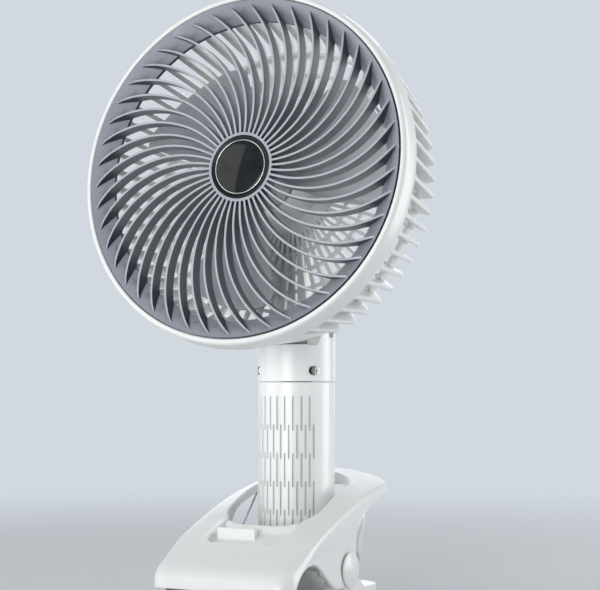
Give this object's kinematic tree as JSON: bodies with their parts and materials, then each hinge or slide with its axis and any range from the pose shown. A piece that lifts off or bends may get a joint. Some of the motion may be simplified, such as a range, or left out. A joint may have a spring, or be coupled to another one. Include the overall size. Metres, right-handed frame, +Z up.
{
  "type": "clip fan",
  "caption": "Battery clip fan: round head with curved-vane grille on a tilting, turning neck, a slim grooved column and a sprung wedge clip with rubber pads that also stands as a base",
  "frame": {"origin": "on the column's axis, at the level the feet stand on", "axes": "+Z up along the column, the fan blows toward -Y, +X is to the right of someone who looks at the fan's face"},
  "size_m": [0.202, 0.14, 0.3463],
  "materials": {
    "shell_white": "satin white moulded shell",
    "grille_grey": "fine silver-grey moulding",
    "badge_black": "black bezel",
    "badge_gloss": "polished black",
    "chrome_line": "bright thin ring",
    "blade_grey": "pale grey blades",
    "black_plastic": "plain black moulding",
    "bright_steel": "turned bright steel",
    "magnet_dark": "sintered dark grey",
    "winding_brass": "copper coloured winding",
    "bushing_brass": "plain bearing",
    "cell_wrap": "blue sleeve",
    "board_green": "solder mask",
    "pad_rubber": "soft grey rubber",
    "spring_steel": "drawn spring wire"
  },
  "bodies": {
    "base": {"base_cover": "shell_white", "base_feet": "pad_rubber", "battery_cells": "cell_wrap", "battery_frame": "black_plastic", "charge_port": "bright_steel", "clip_springs": "spring_steel", "column_screws": "bright_steel", "column_tube": "shell_white", "control_board": "board_green", "cover_screws": "bright_steel", "lower_jaw": "shell_white", "lower_pad": "pad_rubber", "pivot_caps": "shell_white", "pivot_pin": "bright_steel", "swivel_clip": "bright_steel", "swivel_stem": "shell_white", "swivel_washer": "bright_steel"},
    "upper_jaw": {"upper_jaw": "shell_white", "rest_tab": "shell_white", "upper_pad": "pad_rubber"},
    "neck": {"neck_front_shell": "shell_white", "neck_rear_shell": "shell_white", "neck_screws": "bright_steel", "tilt_pin": "bright_steel", "tilt_nut": "bright_steel", "tilt_washers": "bright_steel"},
    "head": {"front_grille": "grille_grey", "badge_cup": "badge_black", "badge_trim": "chrome_line", "badge_disc": "badge_gloss", "drum_band": "shell_white", "rear_cage": "shell_white", "motor_cup": "shell_white", "motor_case": "bright_steel", "motor_end_cap": "black_plastic", "motor_magnets": "magnet_dark", "front_bushing": "bushing_brass", "rear_bushing": "bushing_brass", "head_arm": "shell_white", "arm_screws": "bright_steel"},
    "impeller": {"impeller": "blade_grey", "impeller_nut": "black_plastic", "motor_rotor": "winding_brass", "motor_shaft": "bright_steel"},
    "button": {"power_button": "grille_grey"}
  },
  "joints": [
    {"name": "head_swivel", "type": "hinge", "parent": "base", "child": "neck", "pos_m": [0, 0, 0.128], "axis": [0, 0, 1], "range_deg": [-180, 180]},
    {"name": "head_tilt", "type": "hinge", "parent": "neck", "child": "head", "pos_m": [0, 0, 0.157], "axis": [-1, 0, 0], "range_deg": [0, 20]},
    {"name": "impeller_spin", "type": "hinge", "parent": "head", "child": "impeller", "pos_m": [0, -0.0723, 0.2473], "axis": [0, -0.9912, 0.1323], "continuous": true},
    {"name": "clip_open", "type": "hinge", "parent": "base", "child": "upper_jaw", "pos_m": [0, -0.019, 0.0225], "axis": [-1, 0, 0], "range_deg": [0, 30], "stiffness_Nm_per_rad": 0.8, "springref_deg": -28.65, "deforming": ["clip_springs"]},
    {"name": "power_press", "type": "slide", "parent": "base", "child": "button", "axis": [0, -1, 0], "range_m": [0, 0.0008], "stiffness_N_per_m": 600, "springref_m": -0.001}
  ]
}
